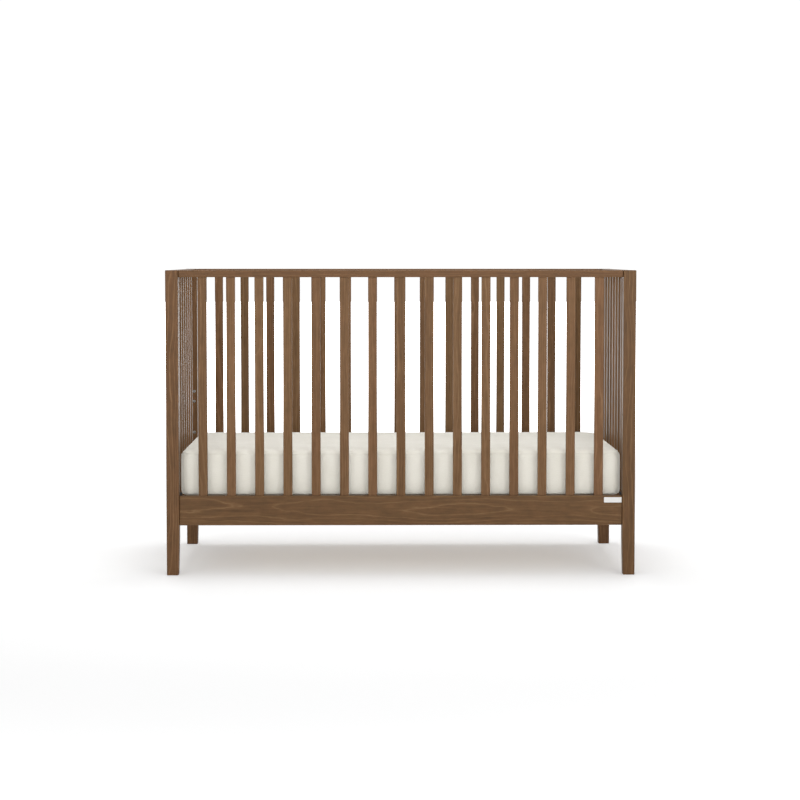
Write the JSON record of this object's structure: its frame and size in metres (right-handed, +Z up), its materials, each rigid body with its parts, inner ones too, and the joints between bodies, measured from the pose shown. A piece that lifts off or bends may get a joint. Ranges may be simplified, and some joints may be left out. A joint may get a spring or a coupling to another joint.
{
  "type": "baby crib",
  "caption": "Full-size walnut-finish baby crib with slatted sides and ends, tapered legs, a height-adjustable slatted mattress support and a cream mattress.",
  "frame": {"origin": "centre of the footprint, on the floor", "axes": "+Z up, +X along the crib's length to its right end, -Y out of the front side, which carries the label"},
  "size_m": [1.406, 0.77, 0.915],
  "materials": {
    "walnut_wood": "satin",
    "beech_wood": "matte",
    "zinc_hardware": "satin",
    "black_steel": "satin",
    "label_plastic": "satin",
    "mattress_cotton": "matte"
  },
  "bodies": {
    "frame": {"leg_front_left": "walnut_wood", "top_bolt_front_left": "zinc_hardware", "lower_bolt_front_left": "zinc_hardware", "leg_front_right": "walnut_wood", "top_bolt_front_right": "zinc_hardware", "lower_bolt_front_right": "zinc_hardware", "leg_back_left": "walnut_wood", "top_bolt_back_left": "zinc_hardware", "lower_bolt_back_left": "zinc_hardware", "leg_back_right": "walnut_wood", "top_bolt_back_right": "zinc_hardware", "lower_bolt_back_right": "zinc_hardware", "front_top_rail": "walnut_wood", "front_lower_rail": "walnut_wood", "front_slat_1": "walnut_wood", "front_slat_2": "walnut_wood", "front_slat_3": "walnut_wood", "front_slat_4": "walnut_wood", "front_slat_5": "walnut_wood", "front_slat_6": "walnut_wood", "front_slat_7": "walnut_wood", "front_slat_8": "walnut_wood", "front_slat_9": "walnut_wood", "front_slat_10": "walnut_wood", "front_slat_11": "walnut_wood", "front_slat_12": "walnut_wood", "front_slat_13": "walnut_wood", "front_slat_14": "walnut_wood", "front_slat_15": "walnut_wood", "back_top_rail": "walnut_wood", "back_lower_rail": "walnut_wood", "back_slat_1": "walnut_wood", "back_slat_2": "walnut_wood", "back_slat_3": "walnut_wood", "back_slat_4": "walnut_wood", "back_slat_5": "walnut_wood", "back_slat_6": "walnut_wood", "back_slat_7": "walnut_wood", "back_slat_8": "walnut_wood", "back_slat_9": "walnut_wood", "back_slat_10": "walnut_wood", "back_slat_11": "walnut_wood", "back_slat_12": "walnut_wood", "back_slat_13": "walnut_wood", "back_slat_14": "walnut_wood", "back_slat_15": "walnut_wood", "left_top_rail": "walnut_wood", "left_grille": "walnut_wood", "right_top_rail": "walnut_wood", "right_grille": "walnut_wood", "label_plate": "label_plastic"},
    "support": {"support_deck": "beech_wood", "support_bracket_front_left": "black_steel", "support_bracket_front_right": "black_steel", "support_bracket_back_left": "black_steel", "support_bracket_back_right": "black_steel"},
    "mattress": {"mattress": "mattress_cotton"}
  },
  "joints": [
    {"name": "support_height", "type": "slide", "parent": "frame", "child": "support", "axis": [0, 0, 1], "range_m": [0, 0.272]},
    {"name": "mattress_lift", "type": "slide", "parent": "support", "child": "mattress", "axis": [0, 0, 1], "range_m": [0, 0.7]}
  ]
}
